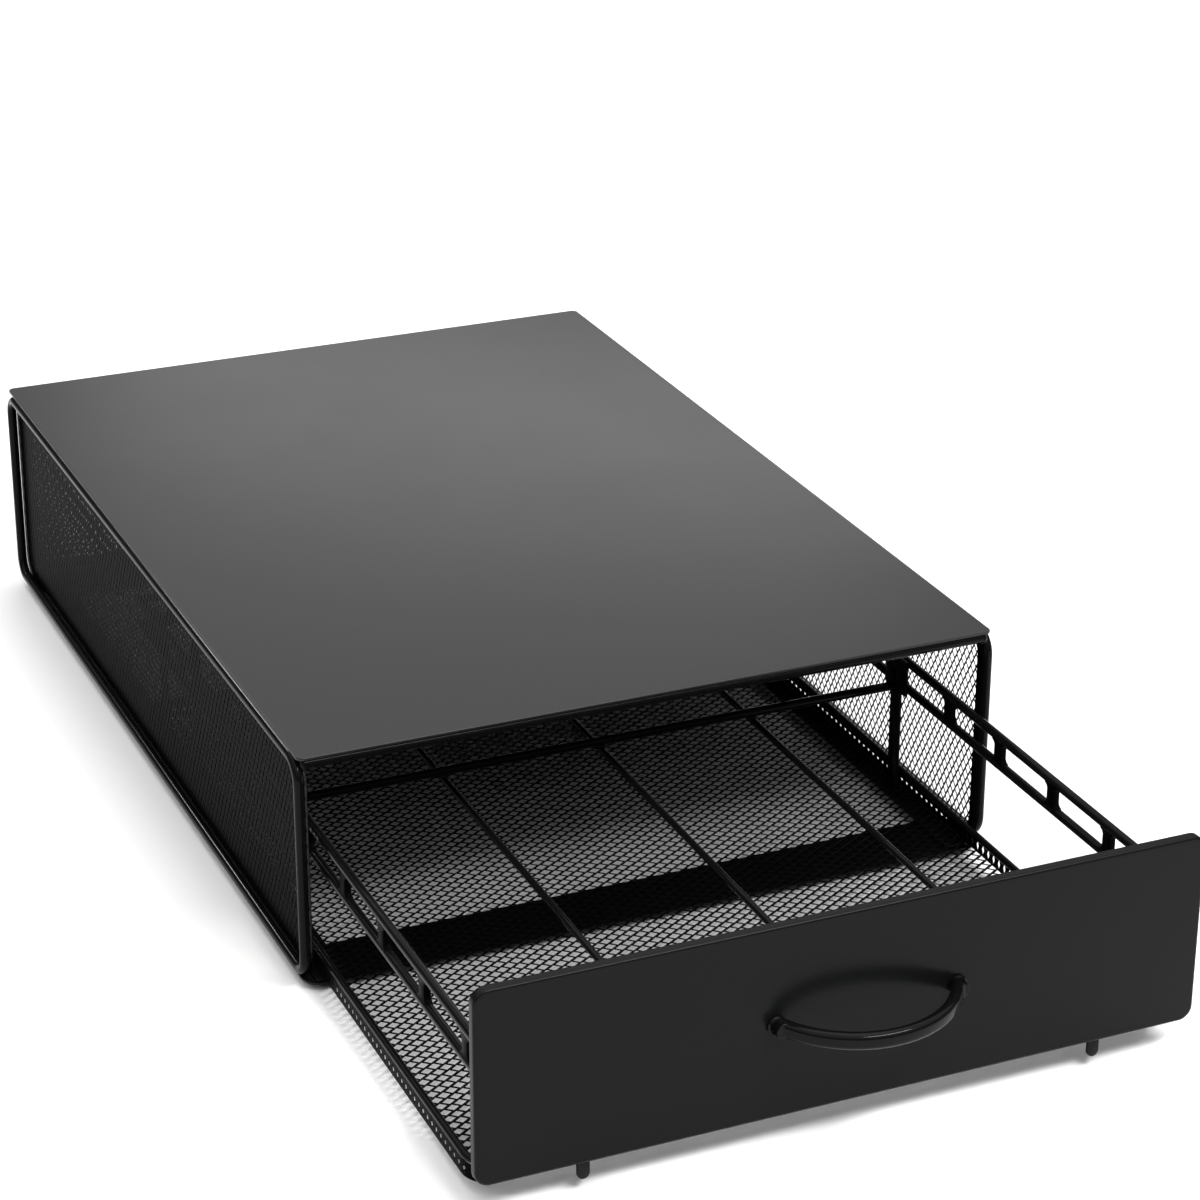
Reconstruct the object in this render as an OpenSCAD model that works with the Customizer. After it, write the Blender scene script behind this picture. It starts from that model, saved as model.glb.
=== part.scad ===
// Under-appliance drawer cabinet for coffee pods, in millimetres.
// +Z is up and the drawer opens towards -Y. The origin lies on the table, under the middle of the
// cabinet with its drawer pulled out by drawer_pull, so every piece is drawn where it then stands.

/* [Cabinet] */
// Width over the two side frames
cabinet_w = 312; // [280:1:360]
// Depth from the front posts to the back frame
cabinet_d = 450; // [380:1:520]
// Height of the deck's top face above the table
cabinet_h = 105; // [98:0.5:130]
// Thickness of the deck sheet
deck_t = 1.2; // [0.8:0.1:2]
// How far the deck's edge stays inside the side frames
deck_inset = 1.5; // [0.5:0.1:3]
// Corner radius of the deck
deck_corner_r = 3; // [2:0.5:12]
// Diameter of the rod in the side and back frames
frame_rod_d = 4.5; // [3.5:0.1:6]
// Bend radius of the frames, on the rod's centreline
frame_bend_r = 9; // [7:0.5:16]
// Thickness of folded sheet pieces
sheet_t = 1.2; // [0.8:0.1:1.6]
// Distance of each deck brace from the middle of the cabinet
brace_offset = 75; // [40:1:120]
// Width of the deck braces
brace_w = 16; // [10:1:30]
// Width, front to back, of the two bottom plates
plate_w = 30; // [20:1:45]
// How far the front bottom plate stands out in front of the posts
plate_front = 2; // [0:0.5:4]
// Corner radius of the bottom plates
plate_corner_r = 9; // [3:0.5:14]

/* [Feet] */
// Diameter of a rubber foot
foot_d = 14; // [10:0.5:18]
// How far a foot stands out below the frame
foot_drop = 3; // [2:0.1:5]
// Distance of a foot's centre from the side of the cabinet
foot_inset = 13; // [12:0.5:30]
// Distance of a foot's centre from the front or back of the cabinet
foot_end_inset = 8; // [7:0.5:14]

/* [Mesh] */
// Thickness of the mesh sheets
mesh_t = 1.2; // [0.8:0.1:1.6]
// Long pitch of the diamond openings, along the sheet
mesh_long = 30; // [20:1:44]
// Short pitch of the diamond openings, across the sheet
mesh_short = 20; // [14:1:26]
// Width of the strands between two openings
strand_w = 4.5; // [3:0.5:6]
// Plain margin along the edges of a mesh sheet
mesh_margin = 4; // [3:0.5:8]

/* [Runners] */
// Running gap above and below the tray's edge in a runner
slide_gap = 0.3; // [0.3:0.1:1]
// Side gap between the drawer and a runner's web
side_gap = 1.6; // [0.6:0.1:3]
// How far a runner's floor reaches in under the tray
runner_floor_w = 10.5; // [6:0.5:16]
// How far a runner's roof covers the tray's rim
runner_roof_w = 2.2; // [1:0.1:2.8]

/* [Drawer] */
// How far the drawer stands pulled out
drawer_pull = 169.5; // [0:0.5:200]
// Space between the closed drawer's back and the back frame
rear_clear = 25.5; // [15:0.5:60]
// Height of the tray's folded lip
lip_h = 6.6; // [5:0.1:12]
// Diameter of the rim rod on the lip
rim_rod_d = 3.2; // [2.6:0.1:4]
// Space between the front panel's back and the tray's front edge
tray_gap = 6; // [0:0.5:12]
// Corner radius of the tray and its rim, on the rod's centreline
tray_corner_r = 10.5; // [6:0.5:14]
// Diameter of the two rail rods
rail_rod_d = 4; // [3:0.1:5]
// Height of the lower rail's centreline above the tray's underside
rail_rise = 50; // [36:0.5:54]
// Height from the lower rail to the top rail, centre to centre
rail_spacing = 12.5; // [9:0.5:16]
// Pitch of the struts between the two rails
strut_pitch = 43.5; // [30:0.5:60]
// Width of a strut along the rails
strut_w = 5.5; // [4:0.5:8]
// Thickness of a strut across the rails
strut_t = 3; // [2:0.1:3.6]
// Distance of the first strut from the front panel's face
strut_start = 17; // [12:0.5:30]
// Diameter of the divider rods
divider_rod_d = 3; // [2.4:0.1:4]

/* [Brackets] */
// Thickness of the flat brackets
bracket_t = 1.5; // [1:0.1:2]
// Width of a bracket's head, where it joins the rails
bracket_w = 18; // [12:0.5:24]
// Width of a bracket's leg
leg_w = 8; // [5:0.5:12]
// Radius of the hole in a bracket's head
bracket_hole_r = 1.3; // [0.8:0.1:2]
// Distance of the mid brackets from the front panel's face
mid_bracket_y = 234; // [180:1:260]
// Distance of the rear brackets from the drawer's back
rear_bracket_y = 25; // [22:1:40]

// Width of the two stays that join the tray to the front panel
stay_w = 12; // [8:0.5:14]
// Height of a stay's upright part on the panel
stay_h = 10; // [6:0.5:20]

/* [Stops] */
// Diameter of the stop posts
post_d = 4; // [3:0.1:5]
// Gap between a stop post's top and the deck's braces
post_clear = 0.5; // [0.3:0.1:1.5]
// Distance of the stop posts from the drawer's back
post_inset = 75; // [60:1:120]
// Gap left between the stop posts and the front rod at full travel
stop_gap = 0.5; // [0.3:0.1:2]

/* [Front panel] */
// How far each end of the front panel stays inside the cabinet's side
panel_inset = 6; // [4:0.5:7]
// Height of the front panel
panel_h = 81; // [74:0.5:100]
// Depth of the panel over its folded edge
panel_depth = 4; // [3:0.1:6]
// Corner radius of the panel
panel_corner_r = 6; // [4:0.5:14]
// How far the panel's lower edge lies above the tray's underside
panel_rise = 6.8; // [4:0.1:9]
// Gap between the closed panel and the front posts
panel_gap = 0.5; // [0.3:0.1:2]
// Distance of each tab under the panel from the panel's end
tab_inset = 43; // [30:1:90]
// Width of the tabs under the panel
tab_w = 5; // [4:0.5:8]
// Gap between the tabs and the front bottom plate
tab_gap = 0.4; // [0.3:0.1:1]

/* [Handle] */
// Distance between the handle's two feet
handle_span = 75; // [64:1:120]
// How far the bow stands out from the panel, on the bar's centreline
handle_reach = 25; // [18:0.5:30]
// Depth of the bar, front to back
bar_depth = 5.2; // [4:0.1:7]
// Height of the bar
bar_height = 7; // [7:0.1:10]
// Sideways place of the handle's middle on the panel
handle_offset = 6; // [-20:0.5:20]
// Diameter of a handle foot where it meets the panel
boss_d = 8; // [8:0.5:12]
// Length of a handle foot
boss_h = 6; // [5:0.5:8]
// Radius of the handle screws
screw_r = 2; // [1.5:0.1:2.2]
// Radius of a handle screw's head
screw_head_r = 3.8; // [3:0.1:4.4]
// Radial clearance of the screws in the handle's feet
thread_gap = 0.05; // [0.02:0.01:0.1]
// Radial clearance of the screws in the panel
screw_hole_gap = 0.25; // [0.1:0.05:0.5]

/* [Hidden] */
$fn = 48;
big = 1000;
black = [0.10, 0.10, 0.105];
deck_black = [0.20, 0.20, 0.205];
rubber_black = [0.05, 0.05, 0.05];
zinc = [0.65, 0.65, 0.66];

// Cabinet
outer_x = cabinet_w / 2;
side_mesh_x = outer_x - frame_rod_d;
span_x = side_mesh_x - mesh_t;
plate_top = foot_drop + sheet_t;
frame_bottom = plate_top;
frame_top = cabinet_h - deck_t;
frame_mid_z = (frame_bottom + frame_top) / 2;
rod_r = frame_rod_d / 2;
back_mesh_y = cabinet_d - frame_rod_d - mesh_t;

// Runners and tray
runner_floor = plate_top + sheet_t;
web_x = span_x - sheet_t;
drawer_x = web_x - side_gap;
tray_z = runner_floor + slide_gap;
rim_r = rim_rod_d / 2;
rim_z = tray_z + lip_h + rim_r;
runner_roof = rim_z + rim_r + slide_gap;

// Front panel, with the drawer closed
panel_w = cabinet_w - 2 * panel_inset;
tab_offset = panel_w / 2 - tab_inset;
panel_back_y = -panel_gap;
panel_face_y = panel_back_y - panel_depth;
panel_sheet_y = panel_face_y + sheet_t;
panel_z = tray_z + panel_rise;

// Rails, with the drawer closed
rail_r = rail_rod_d / 2;
rail_x = drawer_x - rail_r;
rail_front_y = panel_sheet_y + bracket_t;
drawer_back_y = cabinet_d - rear_clear;
rail_back_y = drawer_back_y - rail_r;
lower_rail_z = tray_z + rail_rise;
top_rail_z = lower_rail_z + rail_spacing;
bracket_x = rail_x - rail_r;
mid_y = panel_face_y + mid_bracket_y;
rear_y = drawer_back_y - rear_bracket_y;
column_pitch = bracket_x / 2;
divider_r = divider_rod_d / 2;
divider_z = lower_rail_z - rail_r - divider_r;
first_strut_y = panel_face_y + strut_start;
last_strut_y = drawer_back_y - 2 * rail_rod_d;
strut_count = floor((last_strut_y - first_strut_y) / strut_pitch) + 1;
rear_strut_count = floor(2 * (rail_x - 2 * rail_rod_d) / strut_pitch) + 1;

// Stops
post_r = post_d / 2;
post_x = rail_x - rail_r - post_r;
post_y = drawer_back_y - post_inset;
post_top = frame_top - sheet_t - post_clear;
drawer_travel = post_y - post_r - frame_rod_d - stop_gap;

// Handle: an arc through both feet
half_span = handle_span / 2;
bow_r = (half_span * half_span + handle_reach * handle_reach) / (2 * handle_reach);
bow_angle = 2 * atan2(handle_reach, half_span);
bow_y = panel_face_y + bow_r - handle_reach;
handle_z = panel_z + panel_h / 2;

// Middle of the cabinet with its drawer pulled out
front_y = panel_face_y - drawer_pull - handle_reach - bar_depth / 2;
origin_y = (front_y + cabinet_d) / 2;

echo(drawer_travel = drawer_travel, origin_y = origin_y, handle_z = handle_z);

// ---- Places ----

// Cabinet pieces are drawn with the front posts at y = 0
module in_cabinet() {
    translate([0, -origin_y, 0]) children();
}

// Drawer pieces are drawn closed, then pulled out
module in_drawer() {
    translate([0, -origin_y - drawer_pull, 0]) children();
}

module left_side() {
    mirror([1, 0, 0]) children();
}

// ---- Shapes ----

module rod(from_x, to_x, y, z, d) {
    translate([from_x, y, z]) rotate([0, 90, 0]) cylinder(d = d, h = to_x - from_x);
}

module rod_along_y(x, from_y, to_y, z, d) {
    translate([x, from_y, z]) rotate([-90, 0, 0]) cylinder(d = d, h = to_y - from_y);
}

// Quarter bend of a rod about the origin, from angle start
module bend(start, bend_r, d) {
    rotate(start) rotate_extrude(angle = 90) translate([bend_r, 0]) circle(d = d);
}

// Closed loop of rod in the XY plane, w by h on the rod's centreline
module rod_loop(w, h, bend_r, d) {
    for (side = [-1, 1]) {
        translate([side * w / 2, 0, 0])
            rotate([90, 0, 0]) cylinder(d = d, h = h - 2 * bend_r, center = true);
        translate([0, side * h / 2, 0])
            rotate([0, 90, 0]) cylinder(d = d, h = w - 2 * bend_r, center = true);
    }
    for (corner = [[1, 1, 0], [-1, 1, 90], [-1, -1, 180], [1, -1, 270]])
        translate([corner[0] * (w / 2 - bend_r), corner[1] * (h / 2 - bend_r), 0])
            bend(corner[2], bend_r, d);
}

module rounded_rect(w, h, r) {
    square([w - 2 * r, h], center = true);
    square([w, h - 2 * r], center = true);
    for (sx = [-1, 1], sy = [-1, 1])
        translate([sx * (w / 2 - r), sy * (h / 2 - r)]) circle(r = r);
}

// Staggered diamond openings that lie wholly inside w by h
module diamond_openings(w, h) {
    half_long = (mesh_long - strand_w) / 2;
    half_short = (mesh_short - strand_w) / 2;
    rows = floor((h - 2 * mesh_margin - 2 * half_short) / mesh_short * 2);
    for (row = [0:max(rows, 0)]) {
        shift = (row % 2) * mesh_long / 2;
        room = w - 2 * mesh_margin - 2 * half_long - 2 * shift;
        count = floor(room / mesh_long);
        for (i = [0:max(count, 0)])
            translate([(i - count / 2) * mesh_long, (row - max(rows, 0) / 2) * mesh_short / 2])
                polygon([[half_long, 0], [0, half_short], [-half_long, 0], [0, -half_short]]);
    }
}

// Mesh sheet in the XY plane, centred, with its underside at z = 0
module mesh_sheet(w, h, corner_r = 0) {
    linear_extrude(mesh_t)
        difference() {
            if (corner_r > 0)
                rounded_rect(w, h, corner_r);
            else
                square([w, h], center = true);
            diamond_openings(w, h);
        }
}

// Narrow mesh strip standing along X, centred, with one row of openings
module lip_strip(length) {
    opening_h = lip_h - mesh_t - 2 * sheet_t;
    half_long = (mesh_long / 2 - strand_w) / 2;
    count = floor((length - 2 * mesh_margin) / (mesh_long / 2));
    rotate([90, 0, 0])
        linear_extrude(mesh_t, center = true)
            difference() {
                translate([-length / 2, 0]) square([length, lip_h - mesh_t]);
                for (i = [0:count - 1])
                    translate([(i - (count - 1) / 2) * mesh_long / 2, (lip_h - mesh_t) / 2])
                        polygon([[half_long, 0], [0, opening_h / 2],
                                 [-half_long, 0], [0, -opening_h / 2]]);
            }
}

// ---- Cabinet ----

module deck() {
    color(deck_black)
        in_cabinet()
            translate([0, cabinet_d / 2, frame_top])
                linear_extrude(deck_t)
                    rounded_rect(cabinet_w - 2 * deck_inset, cabinet_d, deck_corner_r);
}

// Bent rod loop that stands on edge and carries a mesh wall
module side_frame() {
    color(black)
        in_cabinet()
            translate([outer_x - rod_r, cabinet_d / 2, frame_mid_z])
                rotate([90, 0, 90])
                    rod_loop(cabinet_d - frame_rod_d, frame_top - frame_bottom - frame_rod_d,
                             frame_bend_r, frame_rod_d);
}

module side_mesh() {
    color(black)
        in_cabinet()
            translate([span_x, cabinet_d / 2, frame_mid_z])
                rotate([90, 0, 90])
                    mesh_sheet(cabinet_d - frame_rod_d, frame_top - frame_bottom - frame_rod_d,
                               frame_bend_r);
}

module back_frame() {
    color(black)
        in_cabinet()
            translate([0, cabinet_d - rod_r, frame_mid_z])
                rotate([90, 0, 0])
                    rod_loop(2 * span_x - frame_rod_d, frame_top - frame_bottom - frame_rod_d,
                             frame_bend_r, frame_rod_d);
}

module back_mesh() {
    color(black)
        in_cabinet()
            translate([0, back_mesh_y + mesh_t, frame_mid_z])
                rotate([90, 0, 0])
                    mesh_sheet(2 * span_x - frame_rod_d,
                               frame_top - frame_bottom - frame_rod_d, frame_bend_r);
}

// Rod from side to side above the drawer's opening, which also stops the drawer
module front_top_rod() {
    color(black)
        in_cabinet() rod(-side_mesh_x, side_mesh_x, rod_r, frame_top - rod_r, frame_rod_d);
}

// Flat strip from side to side under the deck
module deck_brace(y) {
    color(black)
        in_cabinet()
            translate([-span_x, y - brace_w / 2, frame_top - sheet_t])
                cube([2 * span_x, brace_w, sheet_t]);
}

// Flat plate under both side frames, which the runners lie on
module bottom_plate(front_y) {
    color(black)
        in_cabinet()
            translate([0, front_y + plate_w / 2, foot_drop])
                linear_extrude(sheet_t)
                    rounded_rect(cabinet_w - 2 * deck_inset, plate_w, plate_corner_r);
}

// Open C of folded sheet that holds the tray's edge from below and above
module runner() {
    runner_l = back_mesh_y;
    color(black)
        in_cabinet() {
            translate([drawer_x - runner_floor_w, 0, plate_top])
                cube([span_x - drawer_x + runner_floor_w, runner_l, sheet_t]);
            translate([web_x, 0, plate_top])
                cube([sheet_t, runner_l, runner_roof + sheet_t - plate_top]);
            translate([drawer_x - runner_roof_w, 0, runner_roof])
                cube([span_x - drawer_x + runner_roof_w, runner_l, sheet_t]);
        }
}

// Rubber foot stuck under a bottom plate
module foot(x, y) {
    edge = 1;
    color(rubber_black)
        in_cabinet()
            translate([x, y, 0]) {
                cylinder(d1 = foot_d - 2 * edge, d2 = foot_d, h = edge);
                translate([0, 0, edge]) cylinder(d = foot_d, h = foot_drop - edge);
            }
}

foot_x = outer_x - foot_inset;

// ---- Front of the drawer ----

module front_panel() {
    color(black)
        in_drawer()
            difference() {
                translate([0, panel_back_y, panel_z + panel_h / 2])
                    rotate([90, 0, 0])
                        linear_extrude(panel_depth)
                            rounded_rect(panel_w, panel_h, panel_corner_r);
                translate([0, panel_back_y + 1, panel_z + panel_h / 2])
                    rotate([90, 0, 0])
                        linear_extrude(panel_depth - sheet_t + 1)
                            rounded_rect(panel_w - 2 * sheet_t, panel_h - 2 * sheet_t,
                                         panel_corner_r - sheet_t);
                for (side = [-1, 1])
                    rod_along_y(handle_offset + side * half_span, panel_face_y - 1,
                                panel_back_y, handle_z, 2 * (screw_r + screw_hole_gap));
            }
}

// Flat strip on the panel's inner face, which the rails' front ends are welded to
module panel_bracket() {
    foot_z = panel_z + panel_corner_r;
    color(black)
        in_drawer()
            translate([rail_x - bracket_w / 2 - rail_r, panel_sheet_y, foot_z])
                cube([bracket_w / 2 + rail_rod_d, bracket_t,
                      top_rail_z + rail_r + bracket_t - foot_z]);
}

// Short round-ended tab under the panel's folded edge
module panel_tab() {
    tab_z = plate_top + tab_gap;
    color(black)
        in_drawer()
            translate([tab_offset, panel_back_y - tab_gap, 0])
                rotate([90, 0, 0])
                    linear_extrude(bracket_t) {
                        translate([0, tab_z + tab_w / 2]) circle(d = tab_w);
                        translate([-tab_w / 2, tab_z + tab_w / 2])
                            square([tab_w, panel_z - tab_z - tab_w / 2]);
                    }
}

module bar_section() {
    square([bar_depth, bar_height - bar_depth], center = true);
    for (side = [-1, 1])
        translate([0, side * (bar_height - bar_depth) / 2]) circle(d = bar_depth);
}

// Bow handle: an arc of flattened bar between two round feet, tapped for the screws
module handle() {
    over = 20;
    color(black)
        in_drawer()
            difference() {
                union() {
                    translate([handle_offset, bow_y, handle_z])
                        rotate(-90 - bow_angle - over)
                            rotate_extrude(angle = 2 * (bow_angle + over))
                                translate([bow_r, 0]) bar_section();
                    for (side = [-1, 1])
                        translate([handle_offset + side * half_span, panel_face_y, handle_z])
                            rotate([90, 0, 0])
                                cylinder(d1 = boss_d, d2 = bar_height, h = boss_h);
                }
                translate([-big / 2, panel_face_y, 0]) cube([big, big, big]);
                for (side = [-1, 1])
                    rod_along_y(handle_offset + side * half_span, panel_face_y - boss_h + 1,
                                panel_face_y + 1, handle_z, 2 * (screw_r + thread_gap));
            }
}

module handle_screws() {
    head_h = 2;
    color(zinc)
        in_drawer()
            for (side = [-1, 1])
                translate([handle_offset + side * half_span, 0, handle_z]) {
                    rod_along_y(0, panel_face_y - boss_h + 1.5, panel_sheet_y, 0, 2 * screw_r);
                    rod_along_y(0, panel_sheet_y, panel_sheet_y + head_h, 0, 2 * screw_head_r);
                }
}

// ---- Rails of the drawer ----

module side_rail(z) {
    color(black)
        in_drawer() rod_along_y(rail_x, rail_front_y, drawer_back_y, z, rail_rod_d);
}

// Rod between the back ends of two side rails, with its ends cut to lie on them
module rear_rail(z) {
    color(black)
        in_drawer()
            difference() {
                rod(-rail_x, rail_x, rail_back_y, z, rail_rod_d);
                for (side = [-1, 1])
                    rod_along_y(side * rail_x, rail_back_y - rail_rod_d,
                                drawer_back_y + rail_rod_d, z, rail_rod_d);
            }
}

// Flat upright between the two rails at the origin, with its ends cut to lie on them
module strut() {
    difference() {
        translate([-strut_t / 2, -strut_w / 2, lower_rail_z])
            cube([strut_t, strut_w, rail_spacing]);
        for (z = [lower_rail_z, top_rail_z])
            rod_along_y(0, -strut_w, strut_w, z, rail_rod_d);
    }
}

module side_struts() {
    color(black)
        in_drawer()
            for (i = [0:strut_count - 1])
                translate([rail_x, first_strut_y + i * strut_pitch, 0]) strut();
}

module rear_struts() {
    color(black)
        in_drawer()
            for (i = [0:rear_strut_count - 1])
                translate([(i - (rear_strut_count - 1) / 2) * strut_pitch, rail_back_y, 0])
                    rotate(90) strut();
}

// Flat bracket inside the rails, with a leg down to the tray's floor
module rail_bracket(y) {
    head_z = lower_rail_z - rail_r;
    head_h = rail_spacing + rail_rod_d;
    color(black)
        in_drawer()
            translate([bracket_x - bracket_t, y, 0])
                difference() {
                    union() {
                        translate([0, -bracket_w / 2, head_z])
                            cube([bracket_t, bracket_w, head_h]);
                        translate([0, -leg_w / 2, tray_z + mesh_t])
                            cube([bracket_t, leg_w, head_z - tray_z - mesh_t]);
                    }
                    rod(-1, bracket_t + 1, 0, head_z + head_h / 2, 2 * bracket_hole_r);
                }
}

module mid_cross_rod() {
    color(black)
        in_drawer()
            rod(-bracket_x + bracket_t, bracket_x - bracket_t, mid_y, lower_rail_z, rail_rod_d);
}

// Long rod between two columns of pods, under the cross rod and the rear rail
module divider(x) {
    color(black)
        in_drawer() rod_along_y(x, panel_sheet_y, drawer_back_y, divider_z, divider_rod_d);
}

// Tall rod inside the rails, which meets the front top rod when the drawer is fully out
module stop_post() {
    color(black)
        in_drawer()
            translate([post_x, post_y, tray_z + mesh_t])
                cylinder(d = post_d, h = post_top - tray_z - mesh_t);
}

// ---- Tray of the drawer ----

tray_front_y = panel_back_y + tray_gap;
tray_l = drawer_back_y - tray_front_y;
tray_mid_y = (drawer_back_y + tray_front_y) / 2;

module tray_floor() {
    color(black)
        in_drawer()
            translate([0, tray_mid_y, tray_z])
                mesh_sheet(2 * drawer_x, tray_l, tray_corner_r + rim_r);
}

rim_x = drawer_x - rim_r;
rim_front_y = tray_front_y + rim_r;
rim_back_y = drawer_back_y - rim_r;

// Straight run of the rim rod along one side of the tray
module side_rim() {
    color(black)
        in_drawer()
            rod_along_y(rim_x, rim_front_y + tray_corner_r, rim_back_y - tray_corner_r, rim_z,
                        rim_rod_d);
}

module end_rim(y) {
    color(black)
        in_drawer() rod(-rim_x + tray_corner_r, rim_x - tray_corner_r, y, rim_z, rim_rod_d);
}

// The rim rod's bends at the four corners of the tray
module rim_corners() {
    color(black)
        in_drawer()
            for (corner = [[1, rim_back_y, 0], [-1, rim_back_y, 90],
                           [-1, rim_front_y, 180], [1, rim_front_y, 270]])
                translate([corner[0] * (rim_x - tray_corner_r),
                           corner[1] + sign(tray_mid_y - corner[1]) * tray_corner_r, rim_z])
                    bend(corner[2], tray_corner_r, rim_rod_d);
}

// Folded strip that joins the front of the rim rod to the panel's inner face
module tray_stay() {
    rim_top = rim_z + rim_r;
    color(black)
        in_drawer()
            translate([tab_offset - stay_w / 2, panel_sheet_y, rim_top]) {
                cube([stay_w, bracket_t, stay_h]);
                cube([stay_w, rim_front_y + rim_r - panel_sheet_y, bracket_t]);
            }
}

module side_lip() {
    color(black)
        in_drawer()
            translate([drawer_x - mesh_t / 2, tray_mid_y, tray_z + mesh_t])
                rotate(90) lip_strip(tray_l - 2 * (tray_corner_r + rim_r));
}

module end_lip(y) {
    color(black)
        in_drawer()
            translate([0, y, tray_z + mesh_t])
                lip_strip(2 * (drawer_x - tray_corner_r - rim_r));
}

// ---- All pieces ----

deck();
left_side() side_frame();  // left_side_frame
side_frame();  // right_side_frame
left_side() side_mesh();  // left_side_mesh
side_mesh();  // right_side_mesh
back_frame();
back_mesh();
front_top_rod();
deck_brace(cabinet_d / 2 - brace_offset);  // front_brace
deck_brace(cabinet_d / 2 + brace_offset);  // rear_brace
bottom_plate(-plate_front);  // front_bottom_plate
bottom_plate(cabinet_d - plate_w);  // rear_bottom_plate
left_side() runner();  // left_runner
runner();  // right_runner
foot(-foot_x, foot_end_inset);  // front_left_foot
foot(foot_x, foot_end_inset);  // front_right_foot
foot(-foot_x, cabinet_d - foot_end_inset);  // rear_left_foot
foot(foot_x, cabinet_d - foot_end_inset);  // rear_right_foot
front_panel();
left_side() panel_bracket();  // left_panel_bracket
panel_bracket();  // right_panel_bracket
left_side() panel_tab();  // left_panel_tab
panel_tab();  // right_panel_tab
handle();
handle_screws();
left_side() side_rail(top_rail_z);  // left_top_rail
side_rail(top_rail_z);  // right_top_rail
rear_rail(top_rail_z);  // rear_top_rail
left_side() side_rail(lower_rail_z);  // left_lower_rail
side_rail(lower_rail_z);  // right_lower_rail
rear_rail(lower_rail_z);  // rear_lower_rail
left_side() side_struts();  // left_struts
side_struts();  // right_struts
rear_struts();
left_side() rail_bracket(mid_y);  // left_mid_bracket
rail_bracket(mid_y);  // right_mid_bracket
left_side() rail_bracket(rear_y);  // left_rear_bracket
rail_bracket(rear_y);  // right_rear_bracket
mid_cross_rod();
divider(-column_pitch);  // left_divider
divider(0);  // middle_divider
divider(column_pitch);  // right_divider
left_side() stop_post();  // left_stop_post
stop_post();  // right_stop_post
left_side() tray_stay();  // left_tray_stay
tray_stay();  // right_tray_stay
tray_floor();
left_side() side_rim();  // left_rim
side_rim();  // right_rim
end_rim(rim_front_y);  // front_rim
end_rim(rim_back_y);  // rear_rim
rim_corners();
left_side() side_lip();  // left_lip
side_lip();  // right_lip
end_lip(tray_front_y + mesh_t / 2);  // front_lip
end_lip(drawer_back_y - mesh_t / 2);  // rear_lip
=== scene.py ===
import math

import bmesh
import bpy
from mathutils import Matrix, Vector


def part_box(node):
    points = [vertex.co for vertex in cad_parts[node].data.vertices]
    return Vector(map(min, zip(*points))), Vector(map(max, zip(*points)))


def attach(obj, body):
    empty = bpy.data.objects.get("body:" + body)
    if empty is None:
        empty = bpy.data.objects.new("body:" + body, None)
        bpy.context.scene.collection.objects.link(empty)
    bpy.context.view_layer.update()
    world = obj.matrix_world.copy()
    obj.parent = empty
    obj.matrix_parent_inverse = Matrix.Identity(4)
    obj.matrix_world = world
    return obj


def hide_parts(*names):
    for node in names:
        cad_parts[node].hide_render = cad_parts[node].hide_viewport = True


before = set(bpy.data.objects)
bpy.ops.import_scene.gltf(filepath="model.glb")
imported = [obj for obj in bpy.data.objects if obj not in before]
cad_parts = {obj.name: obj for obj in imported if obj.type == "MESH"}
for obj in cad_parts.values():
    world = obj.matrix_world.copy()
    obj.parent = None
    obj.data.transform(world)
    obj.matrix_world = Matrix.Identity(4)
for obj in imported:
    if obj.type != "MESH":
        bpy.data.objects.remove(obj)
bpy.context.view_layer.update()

# ---- Bent rod frames of the cabinet ----
# Two loops of round steel rod stand on edge as the cabinet's sides, a third closes the back and a
# straight rod joins them above the drawer. They are welded, then powder-coated together in a
# semi-gloss black that levels out to a faint orange peel.

MM = 0.001
ROD_BLACK = (0.0036, 0.0036, 0.0037, 1)
DUST_GREY = (0.16, 0.155, 0.15, 1)
PEEL_SCALE, GRAIN_SCALE, CLOUD_SCALE, SPECK_SCALE = 620, 3800, 14, 5200
NOISE_SPAN = (0.3, 0.7)
SPECK_SPAN = (0.70, 0.78)
DUSTY_SPAN = (0.45, 0.7)
GRAIN_SHARE = 0.35
CLOUD_CHANGE, GRAIN_CHANGE = 0.012, 0.02
RELIEF_DEPTH = 0.2 * MM


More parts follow.
